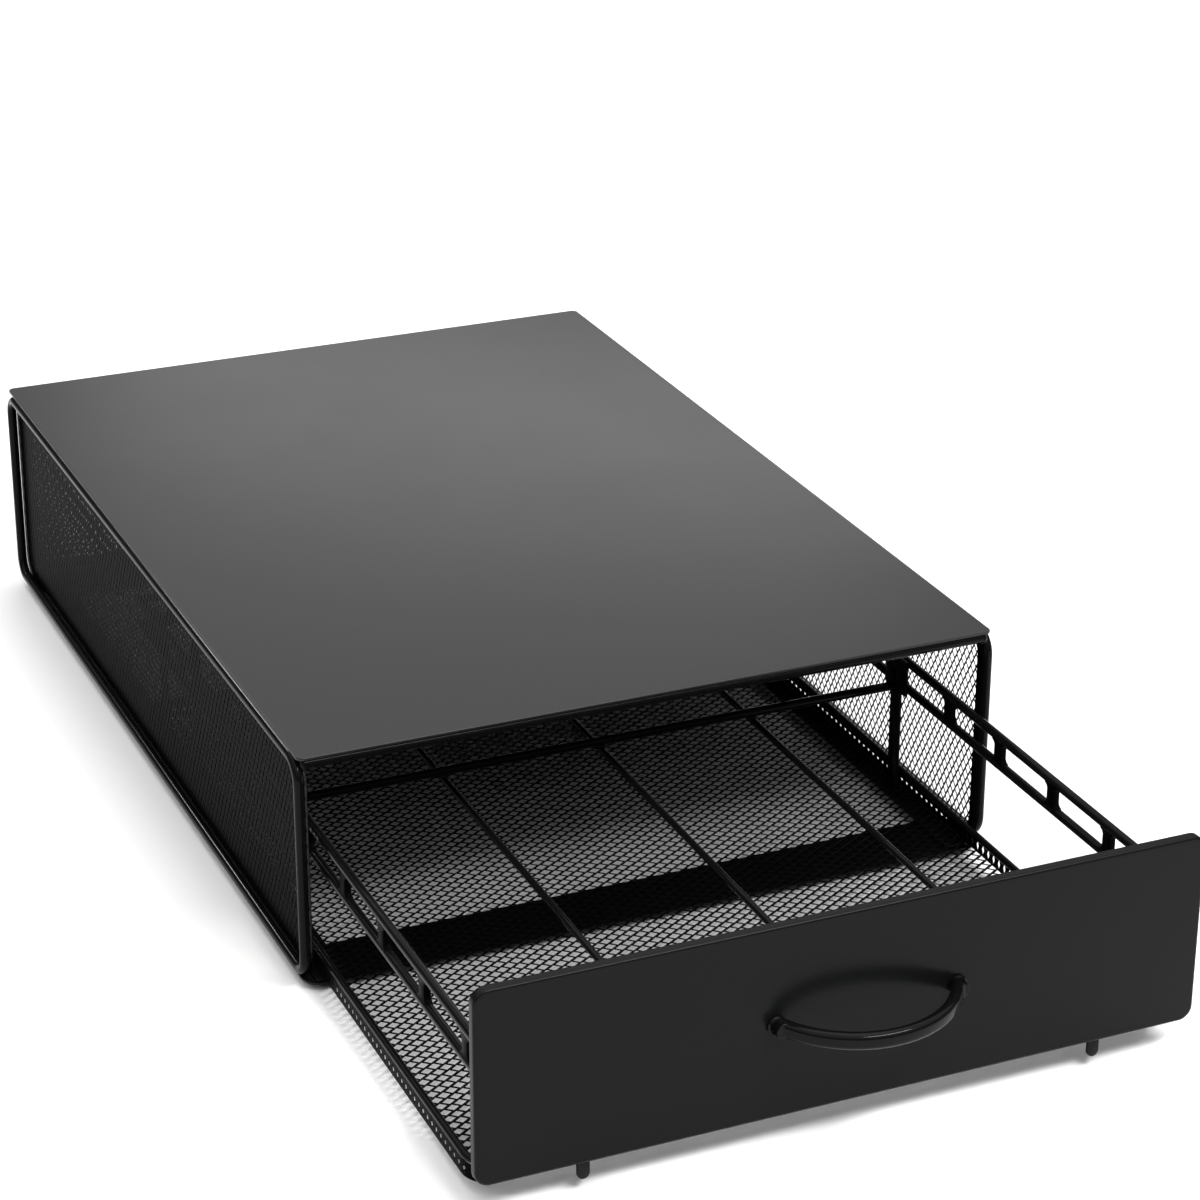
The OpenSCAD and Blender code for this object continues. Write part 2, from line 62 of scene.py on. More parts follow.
def powder_coat_group():
    """Orange peel, fine grain and a little dust, put out as a colour, a roughness and a height."""
    group = bpy.data.node_groups.new("powder_coat", "ShaderNodeTree")
    for label, kind, value in (("Base", "NodeSocketColor", ROD_BLACK),
                               ("Roughness", "NodeSocketFloat", 0.4),
                               ("Peel", "NodeSocketFloat", 0.5),
                               ("Dust", "NodeSocketFloat", 0.1)):
        socket = group.interface.new_socket(label, in_out="INPUT", socket_type=kind)
        socket.default_value = value
    for label, kind in (("Color", "NodeSocketColor"), ("Roughness", "NodeSocketFloat"),
                        ("Height", "NodeSocketFloat")):
        group.interface.new_socket(label, in_out="OUTPUT", socket_type=kind)
    nodes, links = group.nodes, group.links
    take, give = nodes.new("NodeGroupInput"), nodes.new("NodeGroupOutput")
    place = nodes.new("ShaderNodeTexCoord")

    def noise(scale, detail, rough=0.5):
        texture = nodes.new("ShaderNodeTexNoise")
        texture.inputs["Scale"].default_value = scale
        texture.inputs["Detail"].default_value = detail
        texture.inputs["Roughness"].default_value = rough
        links.new(place.outputs["Object"], texture.inputs["Vector"])
        return texture.outputs["Fac"]

    def combine(how, a, b):
        node = nodes.new("ShaderNodeMath")
        node.operation = how
        for socket, value in zip(node.inputs, (a, b)):
            if isinstance(value, float):
                socket.default_value = value
            else:
                links.new(value, socket)
        return node.outputs[0]

    def spread(value, low, high, to_low, to_high):
        node = nodes.new("ShaderNodeMapRange")
        for label, amount in (("From Min", low), ("From Max", high),
                              ("To Min", to_low), ("To Max", to_high)):
            node.inputs[label].default_value = amount
        links.new(value, node.inputs["Value"])
        return node.outputs["Result"]

    peel, grain = noise(PEEL_SCALE, 2), noise(GRAIN_SCALE, 2)
    cloud = noise(CLOUD_SCALE, 4, 0.6)
    height = combine("ADD", combine("MULTIPLY", peel, take.outputs["Peel"]),
                     combine("MULTIPLY", grain, GRAIN_SHARE))
    links.new(height, give.inputs["Height"])
    rough = combine("ADD", take.outputs["Roughness"],
                    spread(cloud, *NOISE_SPAN, -CLOUD_CHANGE, CLOUD_CHANGE))
    rough = combine("ADD", rough, spread(grain, *NOISE_SPAN, -GRAIN_CHANGE, GRAIN_CHANGE))
    links.new(rough, give.inputs["Roughness"])
    specks = combine("MULTIPLY", spread(noise(SPECK_SCALE, 1), *SPECK_SPAN, 0, 1),
                     spread(cloud, *DUSTY_SPAN, 0, 1))
    blend = nodes.new("ShaderNodeMix")
    blend.data_type = "RGBA"
    blend.inputs["B"].default_value = DUST_GREY
    links.new(combine("MULTIPLY", specks, take.outputs["Dust"]), blend.inputs["Factor"])
    links.new(take.outputs["Base"], blend.inputs["A"])
    links.new(blend.outputs["Result"], give.inputs["Color"])
    return group


POWDER_COAT = powder_coat_group()


def coated(name, base, roughness, peel, dust, bump, ior):
    """A powder-coated steel finish; a low IOR keeps a black coat dark under a white room."""
    material = bpy.data.materials.new(name)
    material.use_nodes = True
    nodes, links = material.node_tree.nodes, material.node_tree.links
    shader = nodes["Principled BSDF"]
    coat = nodes.new("ShaderNodeGroup")
    coat.node_tree = POWDER_COAT
    coat.inputs["Base"].default_value = base
    coat.inputs["Roughness"].default_value = roughness
    coat.inputs["Peel"].default_value = peel
    coat.inputs["Dust"].default_value = dust
    relief = nodes.new("ShaderNodeBump")
    relief.inputs["Strength"].default_value = bump
    relief.inputs["Distance"].default_value = RELIEF_DEPTH
    links.new(coat.outputs["Height"], relief.inputs["Height"])
    links.new(coat.outputs["Color"], shader.inputs["Base Color"])
    links.new(coat.outputs["Roughness"], shader.inputs["Roughness"])
    links.new(relief.outputs["Normal"], shader.inputs["Normal"])
    shader.inputs["IOR"].default_value = ior
    return material


def dress(nodes, material):
    """The CAD nodes keep their shape and take the material."""
    for name in nodes:
        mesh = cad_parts[name].data
        mesh.materials.clear()
        mesh.materials.append(material)


rod_coat = coated("rod_powder_coat", ROD_BLACK, 0.12, peel=0.5, dust=0.1, bump=0.03, ior=1.16)
dress(["left_side_frame", "right_side_frame", "back_frame", "front_top_rod"], rod_coat)

# ---- Deck ----
# One flat steel sheet lies on the frames and is the cabinet's top. Its corners and its top edge
# are rounded by the press, and it is powder-coated black with a finer, duller grain. Its base is
# set lighter than the other coats' black as painted sheen, for the deck's bright grazing
# reflection.

X, Y, Z = range(3)
TINY = 0.02 * MM
# Partly painted sheen: the deck's black is lighter than the rods' to stand for its grazing
# reflection.
DECK_BLACK_AND_SHEEN = (0.011, 0.011, 0.0113, 1)
DECK_EDGE_R = 0.5 * MM
DECK_CORNER_R = 3 * MM


def block(name, low, high):
    """A box between two corners, left in edit mode with all of it selected."""
    bpy.ops.object.select_all(action="DESELECT")
    bpy.ops.mesh.primitive_cube_add(size=1)
    piece = bpy.context.object
    piece.name = name
    bpy.ops.object.mode_set(mode="EDIT")
    bpy.ops.transform.resize(value=Vector(high) - Vector(low))
    bpy.ops.transform.translate(value=(Vector(low) + Vector(high)) / 2)
    return piece


def pick(piece, kind, test):
    """In edit mode, selects only the verts, edges or faces whose own points all pass the test."""
    bpy.ops.mesh.select_mode(type={"verts": "VERT", "edges": "EDGE", "faces": "FACE"}[kind])
    bpy.ops.mesh.select_all(action="DESELECT")
    shape = bmesh.from_edit_mesh(piece.data)
    for part in getattr(shape, kind):
        points = [part.co] if kind == "verts" else [v.co for v in part.verts]
        if all(test(point) for point in points):
            part.select_set(True)
    bmesh.update_edit_mesh(piece.data)


def pick_edges_along(piece, axis, test=lambda point: True):
    """In edit mode, selects the edges that run along one axis and pass the test."""
    bpy.ops.mesh.select_mode(type="EDGE")
    bpy.ops.mesh.select_all(action="DESELECT")
    shape = bmesh.from_edit_mesh(piece.data)
    for edge in shape.edges:
        way = (edge.verts[1].co - edge.verts[0].co).normalized()
        if abs(way[axis]) > 0.999 and all(test(v.co) for v in edge.verts):
            edge.select_set(True)
    bmesh.update_edit_mesh(piece.data)


def apply_modifier(piece, kind, **settings):
    """Adds one modifier with its settings and applies it."""
    bpy.ops.object.mode_set(mode="OBJECT")
    bpy.context.view_layer.objects.active = piece
    modifier = piece.modifiers.new(kind.lower(), kind)
    for key, value in settings.items():
        setattr(modifier, key, value)
    bpy.ops.object.modifier_apply(modifier=modifier.name)


def finish_piece(piece, body, material, replaced=(), smooth=30):
    """Shades the finished piece, dresses it and lets it ride on its body."""
    bpy.ops.object.mode_set(mode="OBJECT")
    bpy.ops.object.select_all(action="DESELECT")
    piece.select_set(True)
    bpy.context.view_layer.objects.active = piece
    bpy.ops.object.shade_smooth_by_angle(angle=math.radians(smooth))
    piece.data.materials.clear()
    piece.data.materials.append(material)
    if replaced:
        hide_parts(*replaced)
    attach(piece, body)
    piece.select_set(False)


deck_coat = coated("deck_powder_coat", DECK_BLACK_AND_SHEEN, 0.36, peel=0.35, dust=0.25, bump=0.045,
                   ior=1.38)
low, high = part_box("deck")
deck = block("deck_sheet", low, high)
pick_edges_along(deck, Z)
bpy.ops.mesh.bevel(offset=DECK_CORNER_R, segments=8, affect="EDGES")
pick(deck, "faces", lambda point: point.z > high.z - TINY)
bpy.ops.mesh.region_to_loop()
bpy.ops.mesh.bevel(offset=DECK_EDGE_R, segments=3, affect="EDGES")
finish_piece(deck, "cabinet", deck_coat, ["deck"])

# ---- Mesh walls of the cabinet ----
# The side walls and the back are expanded steel: a sheet is slit and pulled into rows of small
# diamond openings whose strands stand a little aslant. Each wall has a flat hem that is
# spot-welded inside its frame and reaches under the rods.

MESH_BLACK = (0.0022, 0.0022, 0.0023, 1)
MESH_LONG_WAY = 7.0 * MM
MESH_SHORT_WAY = 4.05 * MM
MESH_STRAND = 1.35 * MM
MESH_TILT = 0.33 * MM
MESH_GAUGE = 0.2 * MM
MESH_HEM = 3 * MM
MESH_LAP = 1.4 * MM
# Both walls are cut from one sheet and stand face to face, so their strands lean opposite ways.
WALL_TILT = {"left": MESH_TILT / 2, "right": -MESH_TILT}
WALL_STRETCH = {"left": 1.0, "right": 1.2}
FRAME_BEND_R = 9 * MM
CORNER_CUTS = (22.5, 45, 67.5)


def cut_away(piece, point, outward):
    """Cuts the whole mesh off beyond a plane."""
    bpy.ops.mesh.select_all(action="SELECT")
    bpy.ops.mesh.bisect(plane_co=point, plane_no=outward, clear_outer=True)


def expanded_metal(name, width, height, corner_r=0.0, tilt=MESH_TILT, strand=MESH_STRAND,
                   long_way=MESH_LONG_WAY, short_way=MESH_SHORT_WAY, stretch=1.0, hem=0.0):
    """A sheet of expanded metal about the origin, with its openings' long way along X.

    The strands' edges stand tilt out of the sheet, stretch widens the openings along X, and a hem
    adds a flat border all round."""
    bpy.ops.object.select_all(action="DESELECT")
    bpy.ops.mesh.primitive_circle_add(vertices=4, radius=0.5, fill_type="NGON")
    sheet = bpy.context.object
    sheet.name = name
    bpy.ops.object.mode_set(mode="EDIT")
    # One diamond: the face inside is the opening, the ring round it half of each strand.
    bpy.ops.transform.resize(value=(long_way, short_way, 1))
    bpy.ops.mesh.inset(thickness=strand / 2)
    bpy.ops.transform.resize(value=(stretch, 1, 1))
    bpy.ops.mesh.delete(type="FACE")
    for side in (-1, 1):
        pick(sheet, "verts",
             lambda v: abs(v.x) < TINY and TINY < side * v.y < short_way / 2 - TINY)
        bpy.ops.transform.translate(value=(0, 0, -side * tilt))
    # Its twin lies half a step away both ways, and the pair repeats over the sheet.
    bpy.ops.mesh.select_all(action="SELECT")
    bpy.ops.mesh.duplicate()
    bpy.ops.transform.translate(value=(long_way / 2, short_way / 2, 0))
    columns, rows = math.ceil(width / long_way) + 2, math.ceil(height / short_way) + 2
    for count, step in ((columns, (long_way, 0, 0)), (rows, (0, short_way, 0))):
        apply_modifier(sheet, "ARRAY", count=count, use_relative_offset=False,
                       use_constant_offset=True, constant_offset_displace=step)
    bpy.ops.object.mode_set(mode="EDIT")
    bpy.ops.mesh.select_all(action="SELECT")
    bpy.ops.mesh.remove_doubles(threshold=TINY)
    bpy.ops.transform.translate(value=(-(columns // 2) * long_way, -(rows // 2) * short_way, 0))
    # The sheet is cut to its outline, in the middle of the hem where it has one.
    for way, half in ((Vector((1, 0, 0)), width / 2), (Vector((0, 1, 0)), height / 2)):
        cut_away(sheet, way * (half - hem / 2), way)
        cut_away(sheet, -way * (half - hem / 2), -way)
    if corner_r:
        for x_side in (-1, 1):
            for y_side in (-1, 1):
                centre = Vector((x_side * (width / 2 - corner_r),
                                 y_side * (height / 2 - corner_r), 0))
                for angle in CORNER_CUTS:
                    turn = math.radians(angle)
                    outward = Vector((x_side * math.cos(turn), y_side * math.sin(turn), 0))
                    cut_away(sheet, centre + outward * (corner_r - hem / 2), outward)
    if hem:
        bpy.ops.mesh.select_all(action="DESELECT")
        bpy.ops.mesh.primitive_plane_add(size=1)
        bpy.ops.transform.resize(value=(width, height, 1))
        bpy.ops.mesh.bevel(offset=corner_r, segments=8, affect="VERTICES")
        bpy.ops.mesh.select_mode(type="FACE")
        bpy.ops.mesh.inset(thickness=hem)
        bpy.ops.mesh.delete(type="FACE")
    apply_modifier(sheet, "SOLIDIFY", thickness=MESH_GAUGE, offset=0)
    return sheet


def stand_and_place(piece, middle, turns):
    """Turns the piece about the origin, one turn per axis letter, and moves it to its place."""
    bpy.ops.object.mode_set(mode="OBJECT")
    for axis, degrees in turns:
        piece.data.transform(Matrix.Rotation(math.radians(degrees), 4, axis))
    piece.data.transform(Matrix.Translation(middle))


mesh_coat = coated("mesh_powder_coat", MESH_BLACK, 0.3, peel=0.3, dust=0.1, bump=0.03, ior=1.05)
for side in ("left", "right"):
    low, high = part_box(f"{side}_side_mesh")
    wall = expanded_metal(f"{side}_wall_mesh", high.z - low.z + 2 * MESH_LAP,
                          high.y - low.y + 2 * MESH_LAP, FRAME_BEND_R + MESH_LAP,
                          WALL_TILT[side], stretch=WALL_STRETCH[side], hem=MESH_HEM + MESH_LAP)
    stand_and_place(wall, (low + high) / 2, (("Z", 90), ("X", 90), ("Z", 90)))
    finish_piece(wall, "cabinet", mesh_coat, [f"{side}_side_mesh"])
low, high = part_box("back_mesh")
wall = expanded_metal("back_wall_mesh", high.z - low.z + 2 * MESH_LAP,
                      high.x - low.x + 2 * MESH_LAP, FRAME_BEND_R + MESH_LAP,
                      hem=MESH_HEM + MESH_LAP)
stand_and_place(wall, (low + high) / 2, (("Z", 90), ("X", 90)))
finish_piece(wall, "cabinet", mesh_coat, ["back_mesh"])

# ---- Braces and bottom plates ----
# Flat strips of 1.2 mm sheet, cut with soft edges. Two brace the deck from below and two tie the
# side frames together, welded under their rods. They share the black powder coat.

FOLDED_BLACK = (0.0042, 0.0042, 0.0044, 1)
CUT_EDGE_R = 0.25 * MM
CUT_EDGE_ANGLE = math.radians(40)
FLAT_ANGLE = math.radians(1)


def softened(node, name):
    """A copy of a flat CAD piece, merged, with its long edges broken like a deburred cut."""
    bpy.ops.object.select_all(action="DESELECT")
    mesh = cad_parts[node].data.copy()
    piece = bpy.data.objects.new(name, mesh)
    bpy.context.scene.collection.objects.link(piece)
    piece.select_set(True)
    bpy.context.view_layer.objects.active = piece
    bpy.ops.object.mode_set(mode="EDIT")
    bpy.ops.mesh.select_all(action="SELECT")
    bpy.ops.mesh.remove_doubles(threshold=TINY / 4)
    bpy.ops.mesh.dissolve_limited(angle_limit=FLAT_ANGLE)
    apply_modifier(piece, "BEVEL", width=CUT_EDGE_R, segments=2, limit_method="ANGLE",
                   angle_limit=CUT_EDGE_ANGLE, use_clamp_overlap=True)
    return piece


folded_coat = coated("folded_powder_coat", FOLDED_BLACK, 0.3, peel=0.5, dust=0.15, bump=0.045,
                     ior=1.22)
for node in ("front_brace", "rear_brace", "front_bottom_plate", "rear_bottom_plate"):
    finish_piece(softened(node, f"{node}_sheet"), "cabinet", folded_coat, [node])

# ---- Runners ----
# A strip of sheet folded twice into a C lies along each side and holds the tray's edge from below
# and above. So far only the C's floor is made: the web and the roof are missing, because the two
# extrusions find no selected edge.

SHEET_T = 1.2 * MM
FOLD_R = 1.0 * MM
ROOF_EDGE_X = 145.3 * MM
SHARP_ANGLE = math.radians(60)
for side, sign in (("left", -1), ("right", 1)):
    low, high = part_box(f"{side}_runner")
    outer, inner = (low.x, high.x) if sign < 0 else (high.x, low.x)
    web = outer - sign * SHEET_T / 2
    roof_edge = sign * ROOF_EDGE_X
    bottom, top = low.z + SHEET_T / 2, high.z - SHEET_T / 2
    bpy.ops.object.select_all(action="DESELECT")
    bpy.ops.mesh.primitive_plane_add(size=1)
    runner = bpy.context.object
    runner.name = f"{side}_runner_fold"
    bpy.ops.object.mode_set(mode="EDIT")
    bpy.ops.transform.resize(value=(abs(web - inner), high.y - low.y, 1))
    bpy.ops.transform.translate(value=((web + inner) / 2, (low.y + high.y) / 2, bottom))
    pick(runner, "verts", lambda v: abs(v.x - web) < TINY)
    bpy.ops.mesh.select_mode(type="EDGE")
    bpy.ops.mesh.extrude_region_move(TRANSFORM_OT_translate={"value": (0, 0, top - bottom)})
    bpy.ops.mesh.extrude_region_move(TRANSFORM_OT_translate={"value": (roof_edge - web, 0, 0)})
    pick_edges_along(runner, Y, lambda v: abs(v.x - web) < TINY)
    bpy.ops.mesh.bevel(offset=FOLD_R, segments=4, affect="EDGES")
    apply_modifier(runner, "SOLIDIFY", thickness=SHEET_T, offset=0, use_even_offset=True)
    apply_modifier(runner, "BEVEL", width=CUT_EDGE_R, segments=2, limit_method="ANGLE",
                   angle_limit=SHARP_ANGLE)
    finish_piece(runner, "cabinet", folded_coat, [f"{side}_runner"])

# ---- Feet ----
# Four turned rubber buttons with a rounded rim and a shallow hollow underneath, stuck under the
# corners of the bottom plates.

RUBBER_BLACK = (0.011, 0.011, 0.011, 1)
RUBBER_GREY = (0.022, 0.021, 0.020, 1)
RUBBER_SCALE = 2400
FOOT_EDGE = 1 * MM
FOOT_RIM = 2.2 * MM
HOLLOW_SLOPE = 0.5 * MM
HOLLOW_DEPTH = 0.8 * MM


def rubber(name):
    """Dull moulded rubber with a fine matt skin."""
    material = bpy.data.materials.new(name)
    material.use_nodes = True
    nodes, links = material.node_tree.nodes, material.node_tree.links
    shader = nodes["Principled BSDF"]
    place = nodes.new("ShaderNodeTexCoord")
    skin = nodes.new("ShaderNodeTexNoise")
    skin.inputs["Scale"].default_value = RUBBER_SCALE
    skin.inputs["Detail"].default_value = 3
    tone = nodes.new("ShaderNodeMix")
    tone.data_type = "RGBA"
    tone.inputs["A"].default_value = RUBBER_BLACK
    tone.inputs["B"].default_value = RUBBER_GREY
    relief = nodes.new("ShaderNodeBump")
    relief.inputs["Strength"].default_value = 0.15
    relief.inputs["Distance"].default_value = RELIEF_DEPTH
    links.new(place.outputs["Object"], skin.inputs["Vector"])
    links.new(skin.outputs["Fac"], tone.inputs["Factor"])
    links.new(skin.outputs["Fac"], relief.inputs["Height"])
    links.new(tone.outputs["Result"], shader.inputs["Base Color"])
    links.new(relief.outputs["Normal"], shader.inputs["Normal"])
    shader.inputs["Roughness"].default_value = 0.75
    return material


foot_rubber = rubber("foot_rubber")
for node in ("front_left_foot", "front_right_foot", "rear_left_foot", "rear_right_foot"):
    low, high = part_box(node)
    middle, radius = (low + high) / 2, (high.x - low.x) / 2
    bpy.ops.object.select_all(action="DESELECT")
    bpy.ops.mesh.primitive_circle_add(vertices=40, radius=radius, fill_type="NGON")
    foot = bpy.context.object
    foot.name = f"{node}_rubber"
    bpy.ops.object.mode_set(mode="EDIT")
    bpy.ops.transform.translate(value=(middle.x, middle.y, high.z))
    bpy.ops.mesh.extrude_region_move(TRANSFORM_OT_translate={"value": (0, 0, low.z - high.z)})
    bpy.ops.mesh.inset(thickness=FOOT_RIM)
    bpy.ops.mesh.inset(thickness=HOLLOW_SLOPE)
    bpy.ops.transform.translate(value=(0, 0, HOLLOW_DEPTH))
    bpy.ops.mesh.select_all(action="SELECT")
    bpy.ops.mesh.normals_make_consistent(inside=False)
    pick(foot, "edges", lambda v: v.z < low.z + TINY
         and (v.xy - middle.xy).length > radius - TINY)
    bpy.ops.mesh.bevel(offset=FOOT_EDGE, segments=4, affect="EDGES")
    finish_piece(foot, "cabinet", foot_rubber, [node])

# ---- Tray of the drawer ----
# The drawer's bottom is one sheet of the same expanded steel. Its edge is folded up all round as a
# lip and welded under a thin rod that runs round the tray with rounded corners. Two folded strips
# tie the tray to the panel.

TRAY_CORNER_R = 12.1 * MM
LIP_STRAND = 2.4 * MM
LIP_ROW = 11 * MM
TRAY_LONG_WAY = 7.9 * MM
TRAY_SHORT_WAY = 4.6 * MM
TRAY_STRAND = 2.0 * MM
TRAY_TILT = -0.61 * MM
TRAY_STRETCH = 1.36
FOLD_IN = 0.6 * MM

low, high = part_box("tray_floor")
tray = expanded_metal("tray_floor_mesh", high.x - low.x - 2 * FOLD_IN,
                      high.y - low.y - 2 * FOLD_IN, TRAY_CORNER_R - FOLD_IN, TRAY_TILT,
                      TRAY_STRAND, TRAY_LONG_WAY, TRAY_SHORT_WAY, TRAY_STRETCH)
stand_and_place(tray, (low + high) / 2, ())
finish_piece(tray, "drawer", mesh_coat, ["tray_floor"])

lip_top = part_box("left_lip")[1].z
lip_height = lip_top - low.z
lip_r = TRAY_CORNER_R - FOLD_IN
half_x, half_y = (high.x - low.x) / 2 - FOLD_IN, (high.y - low.y) / 2 - FOLD_IN
lip_length = 4 * (half_x + half_y) - 8 * lip_r + 2 * math.pi * lip_r
lip = expanded_metal("tray_lip_mesh", lip_length, lip_height, tilt=0, strand=LIP_STRAND,
                     long_way=lip_length / round(lip_length / TRAY_SHORT_WAY), short_way=LIP_ROW)
# The lip is made straight, stood on edge and bent round the tray's outline.
bpy.ops.object.select_all(action="DESELECT")
bpy.ops.mesh.primitive_plane_add(size=2)
fold = bpy.context.object
bpy.ops.object.mode_set(mode="EDIT")
bpy.ops.transform.resize(value=(half_x, half_y, 1))
bpy.ops.mesh.select_mode(type="VERT")
bpy.ops.mesh.select_all(action="SELECT")
bpy.ops.mesh.bevel(offset=lip_r, segments=8, affect="VERTICES")
bpy.ops.mesh.delete(type="ONLY_FACE")
bpy.ops.object.mode_set(mode="OBJECT")
bpy.ops.object.convert(target="CURVE")
lip.data.transform(Matrix.Rotation(math.radians(90), 4, "X"))
lip.data.transform(Matrix.Translation((lip_length / 2, 0, 0)))
apply_modifier(lip, "CURVE", object=fold, deform_axis="POS_X")
bpy.data.objects.remove(fold)
stand_and_place(lip, ((low.x + high.x) / 2, (low.y + high.y) / 2, (low.z + lip_top) / 2), ())
finish_piece(lip, "drawer", mesh_coat,
             ["left_lip", "right_lip", "front_lip", "rear_lip"])
dress(["left_rim", "right_rim", "front_rim", "rear_rim", "rim_corners"], rod_coat)
for node in ("left_tray_stay", "right_tray_stay"):
    finish_piece(softened(node, f"{node}_strip"), "drawer", folded_coat, [node])

# ---- Rails, struts and dividers ----
# Two rods, one above the other, run along the drawer's sides and back as its railing. Short
# uprights join them, with ends pressed wide where they are welded to the rods. Three long rods
# part the tray into columns, and a tall one at each rear corner stops the drawer.

STRUT_W = 5.5 * MM
STRUT_T = 3 * MM
STRUT_PITCH = 43.5 * MM
STRUT_FLARE = 2.2 * MM
STRUT_EDGE_R = 0.5 * MM
STRUT_LEVELS = 16
RAIL_ROD_R = 2 * MM
RAIL_OVERLAP = 0.8 * MM


def strut_row(name, first, way, count, rail_gap):
    """Pressed uprights between two rods, from the first one's middle on; way is X or Y."""
    height = rail_gap + 2 * RAIL_OVERLAP
    bpy.ops.object.select_all(action="DESELECT")
    bpy.ops.mesh.primitive_plane_add(size=1)
    row = bpy.context.object
    row.name = name
    bpy.ops.object.mode_set(mode="EDIT")
    bpy.ops.transform.resize(value=(STRUT_W, height, 1))
    pick_edges_along(row, Y)
    bpy.ops.mesh.subdivide(number_cuts=STRUT_LEVELS - 1)
    # Each level widens by a quarter circle as it nears a rod.
    for level in range(STRUT_LEVELS + 1):
        y = (level / STRUT_LEVELS - 0.5) * height
        room = min(max(rail_gap / 2 - abs(y), 0), STRUT_FLARE)
        flare = STRUT_FLARE - math.sqrt(STRUT_FLARE ** 2 - (STRUT_FLARE - room) ** 2)
        pick(row, "verts", lambda v: abs(v.y - y) < TINY)
        bpy.ops.transform.resize(value=(1 + 2 * flare / STRUT_W, 1, 1))
    apply_modifier(row, "SOLIDIFY", thickness=STRUT_T, offset=0)
    apply_modifier(row, "BEVEL", width=STRUT_EDGE_R, segments=2, limit_method="ANGLE",
                   angle_limit=SHARP_ANGLE)
    stand_and_place(row, first, (("X", 90),) if way == "X" else (("X", 90), ("Z", 90)))
    step = (STRUT_PITCH, 0, 0) if way == "X" else (0, STRUT_PITCH, 0)
    apply_modifier(row, "ARRAY", count=count, use_relative_offset=False,
                   use_constant_offset=True, constant_offset_displace=step)
    return row


for node, way in (("left_struts", "Y"), ("right_struts", "Y"), ("rear_struts", "X")):
    low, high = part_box(node)
    axis = "XY".index(way)
    count = round((high[axis] - low[axis] - STRUT_W) / STRUT_PITCH) + 1
    first = (low + high) / 2
    first[axis] = low[axis] + STRUT_W / 2
    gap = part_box("left_top_rail")[0].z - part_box("left_lower_rail")[1].z
    row = strut_row(f"{node}_pressed", first, way, count, gap)
    finish_piece(row, "drawer", mesh_coat, [node])
dress(["left_top_rail", "right_top_rail", "rear_top_rail", "left_lower_rail", "right_lower_rail",
       "rear_lower_rail", "mid_cross_rod", "left_divider", "middle_divider", "right_divider",
       "left_stop_post", "right_stop_post"], rod_coat)

# ---- Brackets ----
# Flat plates welded inside the rails, with one punched hole and a leg that stands on the tray.
# Two plain strips on the panel's back take the rails' front ends.

for node in ("left_mid_bracket", "right_mid_bracket", "left_rear_bracket", "right_rear_bracket",
             "left_panel_bracket", "right_panel_bracket"):
    finish_piece(softened(node, f"{node}_plate"), "drawer", folded_coat, [node])

# ---- Weld beads ----
# The rods are spot-welded where they cross or end. A little steel squeezes out round each joint
# and stays as a low bead under the powder coat.

BEAD_R = 2.7 * MM
BEAD_FLAT = 1.5 * MM
BEAD_SINK = 0.6 * MM


def weld_beads(name, body, beads):
    """Low round beads, each given by its middle and the axis that it is flat along."""
    bpy.ops.object.select_all(action="DESELECT")
    for middle, axis in beads:
        bpy.ops.mesh.primitive_ico_sphere_add(subdivisions=2, radius=BEAD_R)
        if bpy.context.mode == "OBJECT":
            seam = bpy.context.object
            seam.name = name
            bpy.ops.object.mode_set(mode="EDIT")
        squeeze = [1, 1, 1]
        squeeze[axis] = BEAD_FLAT / BEAD_R
        bpy.ops.transform.resize(value=squeeze)
        bpy.ops.transform.translate(value=middle)
    finish_piece(seam, body, rod_coat, smooth=180)


low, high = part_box("front_top_rod")
middle = (low + high) / 2
weld_beads("opening_rod_welds", "cabinet",
           [(Vector((x, middle.y + BEAD_SINK, middle.z - BEAD_SINK)), X) for x in (low.x, high.x)])

beads = []
cross_low, cross_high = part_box("mid_cross_rod")
cross = (cross_low + cross_high) / 2
for side, sign in (("left", -1), ("right", 1)):
    for level in ("top", "lower"):
        low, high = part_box(f"{side}_{level}_rail")
        rail_x = (low.x if sign < 0 else high.x) - sign * RAIL_ROD_R
        rail_z = (low.z + high.z) / 2
        beads.append((Vector((rail_x, low.y + BEAD_FLAT, rail_z)), Y))
        post = sum(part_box(f"{side}_stop_post"), Vector()) / 2
        beads.append((Vector(((post.x + rail_x) / 2, post.y, rail_z)), X))
    beads.append((Vector((cross_low.x if sign < 0 else cross_high.x, cross.y, cross.z)), X))
for name in ("left_divider", "middle_divider", "right_divider"):
    low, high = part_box(name)
    middle = (low + high) / 2
    beads.append((Vector((middle.x, cross.y, (middle.z + cross.z) / 2)), Z))
    for y, inward in ((low.y, 1), (high.y, -1)):
        beads.append((Vector((middle.x, y + inward * BEAD_FLAT, middle.z)), Y))
weld_beads("drawer_rod_welds", "drawer", beads)

# ---- Front panel ----
# A pan of sheet steel: its four edges are folded back by the depth of the frame behind it, with
# rounded corners. Two round-ended tabs show below its lower edge.

PANEL_BLACK = (0.0045, 0.0047, 0.0048, 1)
PANEL_CORNER_R = 6 * MM
PANEL_BEND_R = 1.3 * MM
panel_coat = coated("panel_powder_coat", PANEL_BLACK, 0.22, peel=0.4, dust=0.2, bump=0.04,
                    ior=1.185)
low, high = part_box("front_panel")
bpy.ops.object.select_all(action="DESELECT")
bpy.ops.mesh.primitive_plane_add(size=1)
panel = bpy.context.object
panel.name = "front_panel_pan"
bpy.ops.object.mode_set(mode="EDIT")
bpy.ops.transform.resize(value=(high.x - low.x, high.z - low.z, 1))
bpy.ops.mesh.bevel(offset=PANEL_CORNER_R, segments=12, affect="VERTICES")
bpy.ops.mesh.select_all(action="SELECT")
bpy.ops.mesh.extrude_region_move(TRANSFORM_OT_translate={"value": (0, 0, high.y - low.y)})
bpy.ops.mesh.region_to_loop()
bpy.ops.mesh.bevel(offset=PANEL_BEND_R, segments=4, affect="EDGES")
